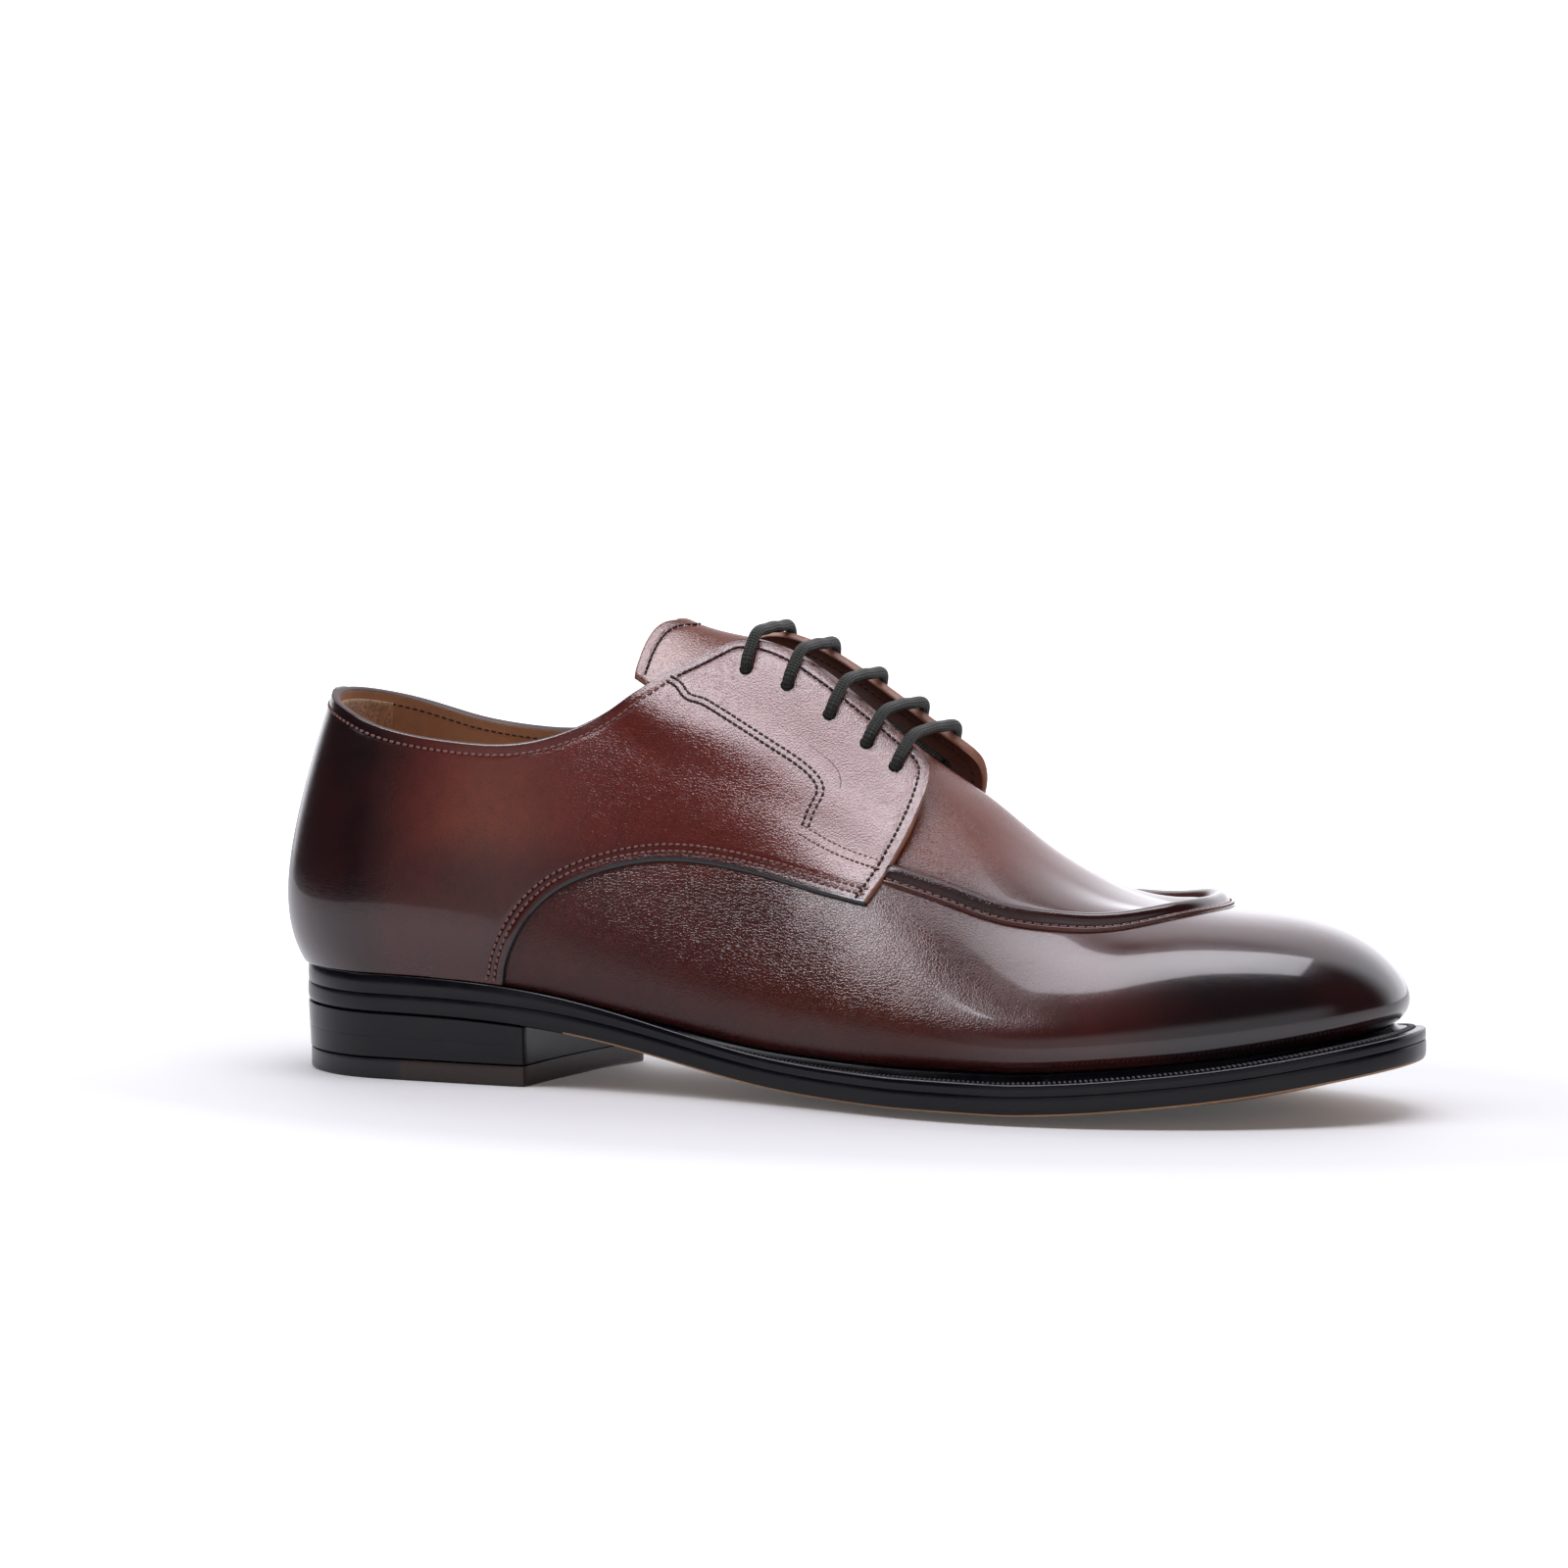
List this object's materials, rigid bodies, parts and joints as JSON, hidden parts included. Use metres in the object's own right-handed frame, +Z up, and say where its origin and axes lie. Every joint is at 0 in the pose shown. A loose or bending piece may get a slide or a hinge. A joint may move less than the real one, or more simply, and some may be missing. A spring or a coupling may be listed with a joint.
{
  "type": "apron front derby shoe",
  "caption": "Laced leather derby shoe with a raised apron seam, open facings over a tongue, a leather welt and sole and a stacked heel.",
  "frame": {"origin": "centre of the bounding box in plan, on the floor under the sole", "axes": "+X to the toe, +Y to the inner (medial) side of the foot, +Z up"},
  "size_m": [0.3062, 0.0976, 0.1182],
  "materials": {
    "upper_leather": "burnished, waxed to a soft gloss",
    "edge_leather": "inked and waxed edge, glossy",
    "outsole_leather": "natural bottom, satin",
    "top_piece_leather": "inked lift with a leather front part",
    "lining_leather": "matte tan",
    "lace": "round waxed cotton"
  },
  "bodies": {
    "root": {"outsole": "outsole_leather", "welt": "edge_leather", "heel_stack": "edge_leather", "top_piece": "top_piece_leather", "insole": "lining_leather", "upper": "upper_leather", "tongue": "upper_leather", "lace_bar_1": "lace", "lace_bar_2": "lace", "lace_bar_3": "lace", "lace_bar_4": "lace", "lace_bar_5": "lace"}
  },
  "joints": []
}
